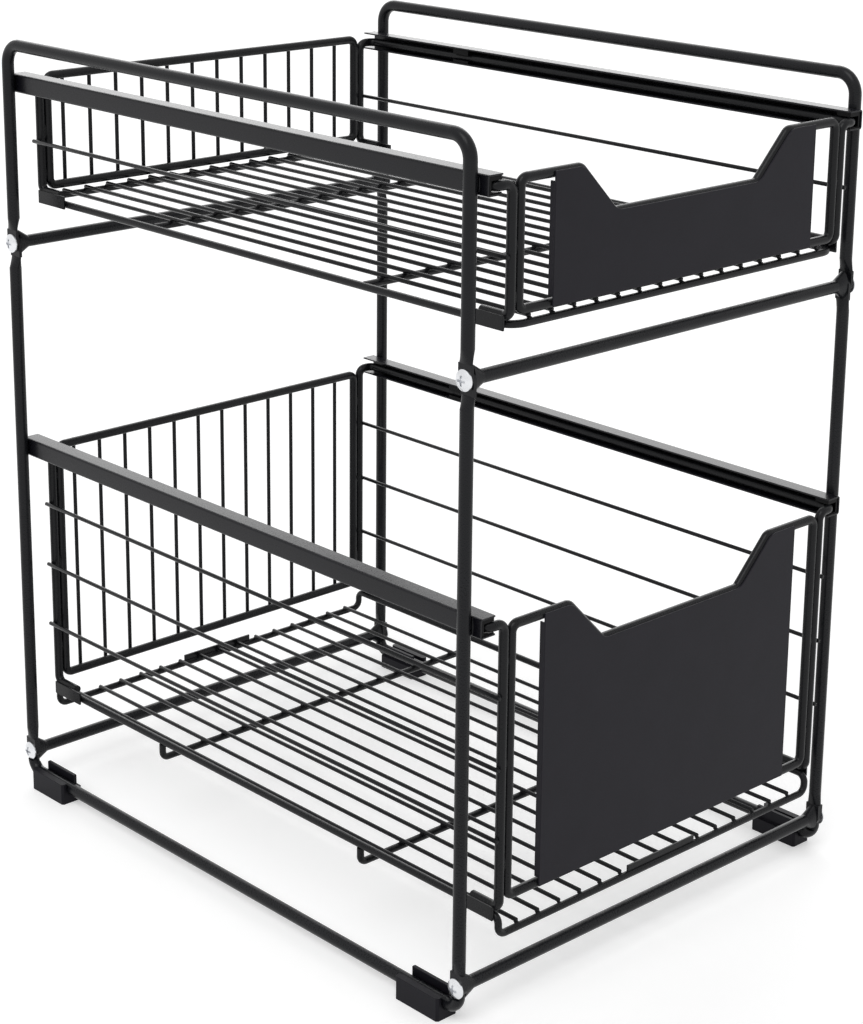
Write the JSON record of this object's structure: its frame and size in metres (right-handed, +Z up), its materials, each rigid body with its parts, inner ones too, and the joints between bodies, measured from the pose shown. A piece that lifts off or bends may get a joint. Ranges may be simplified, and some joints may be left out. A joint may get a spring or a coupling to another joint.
{
  "type": "under-sink shelf with pull-out drawers",
  "caption": "Narrow dark steel shelf for under a sink: wire drawers with notched sheet fronts slide out on side rails in a screwed tube frame.",
  "frame": {"origin": "on the floor, under the middle of the whole shelf with both drawers shut", "axes": "+Z up, -Y to the front, where the drawers pull out, +X to the right of someone facing the shelf's front"},
  "size_m": [0.317, 0.417, 0.4846],
  "materials": {
    "frame_tube": "satin powder coat, dark charcoal",
    "rail_steel": "satin powder coat, dark charcoal",
    "drawer_wire": "satin powder coat, dark charcoal",
    "front_sheet": "fine matt powder coat, dark charcoal",
    "screw_zinc": "bright zinc plating",
    "foot_plastic": "moulded, fine grain, black",
    "slide_plastic": "moulded, smooth, black"
  },
  "bodies": {
    "frame": {"bottom_cross_bar_back": "frame_tube", "bottom_cross_bar_front": "frame_tube", "bottom_joint_screws": "screw_zinc", "foot_back_left": "foot_plastic", "foot_back_right": "foot_plastic", "foot_front_left": "foot_plastic", "foot_front_right": "foot_plastic", "lower_frame_left": "frame_tube", "lower_frame_right": "frame_tube", "lower_rail_guide_left": "slide_plastic", "lower_rail_guide_right": "slide_plastic", "lower_rail_left": "rail_steel", "lower_rail_right": "rail_steel", "middle_cross_bar_back": "frame_tube", "middle_cross_bar_front": "frame_tube", "middle_joint_screws": "screw_zinc", "upper_frame_left": "frame_tube", "upper_frame_right": "frame_tube", "upper_rail_guide_left": "slide_plastic", "upper_rail_guide_right": "slide_plastic", "upper_rail_left": "rail_steel", "upper_rail_right": "rail_steel"},
    "lower_drawer": {"lower_back_frame": "drawer_wire", "lower_back_wires": "drawer_wire", "lower_corner_plates": "drawer_wire", "lower_edge_strips": "drawer_wire", "lower_floor_rim": "drawer_wire", "lower_floor_supports": "drawer_wire", "lower_floor_wires": "drawer_wire", "lower_front_frame": "drawer_wire", "lower_front_plate": "front_sheet", "lower_runner_glide_left": "slide_plastic", "lower_runner_glide_right": "slide_plastic", "lower_side_frame_left": "drawer_wire", "lower_side_frame_right": "drawer_wire", "lower_side_wires_left": "drawer_wire", "lower_side_wires_right": "drawer_wire"},
    "upper_drawer": {"upper_back_frame": "drawer_wire", "upper_back_wires": "drawer_wire", "upper_corner_plates": "drawer_wire", "upper_floor_rim": "drawer_wire", "upper_floor_supports": "drawer_wire", "upper_floor_wires": "drawer_wire", "upper_front_frame": "drawer_wire", "upper_front_plate": "front_sheet", "upper_runner_glide_left": "slide_plastic", "upper_runner_glide_right": "slide_plastic", "upper_side_frame_left": "drawer_wire", "upper_side_frame_right": "drawer_wire", "upper_side_wires_left": "drawer_wire", "upper_side_wires_right": "drawer_wire"}
  },
  "joints": [
    {"name": "lower_drawer_slide", "type": "slide", "parent": "frame", "child": "lower_drawer", "axis": [0, -1, 0], "range_m": [0, 0.3]},
    {"name": "upper_drawer_slide", "type": "slide", "parent": "frame", "child": "upper_drawer", "axis": [0, -1, 0], "range_m": [0, 0.3]}
  ]
}
